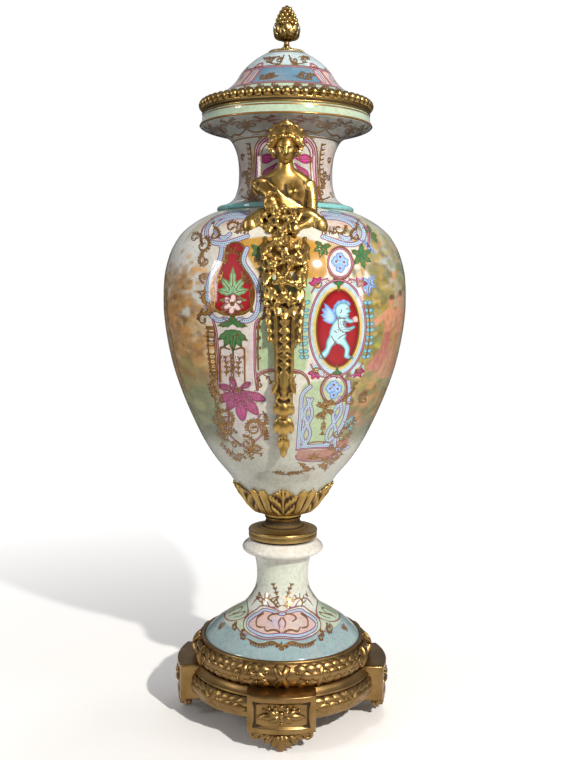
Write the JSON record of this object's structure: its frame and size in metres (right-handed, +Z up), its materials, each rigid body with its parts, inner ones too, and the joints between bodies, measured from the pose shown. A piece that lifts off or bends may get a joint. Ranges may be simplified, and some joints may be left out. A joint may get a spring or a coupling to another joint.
{
  "type": "bronze-mounted porcelain vase",
  "caption": "Tall lidded vase of painted porcelain in gilt bronze mounts, with bust handles, a leaf cup, a beaded rim and a round plinth on corner blocks with leaf feet.",
  "frame": {"origin": "centre of the base, on the surface that the feet stand on", "axes": "+Z up through the vase's axis; one bust handle faces -Y and the other +Y"},
  "size_m": [0.4084, 0.4466, 1.2],
  "materials": {
    "painted_porcelain": "glazed porcelain with a pale lustre ground, enamel panels and gold scrolls",
    "gilt_bronze": "bright chased and burnished gilt bronze, darker in the hollows",
    "aged_bronze": "aged, matte brown-gold bronze with worn bright edges"
  },
  "bodies": {
    "root": {"corner_block_front": "aged_bronze", "corner_block_right": "aged_bronze", "corner_block_back": "aged_bronze", "corner_block_left": "aged_bronze", "plinth_ring": "aged_bronze", "laurel_ring": "aged_bronze", "socle": "painted_porcelain", "stem_disc": "gilt_bronze", "leaf_cup": "gilt_bronze", "body": "painted_porcelain", "neck": "painted_porcelain", "beaded_rim": "gilt_bronze", "lid": "painted_porcelain", "cone_finial": "gilt_bronze", "bust_handle_front": "gilt_bronze", "bust_handle_back": "gilt_bronze"}
  },
  "joints": []
}
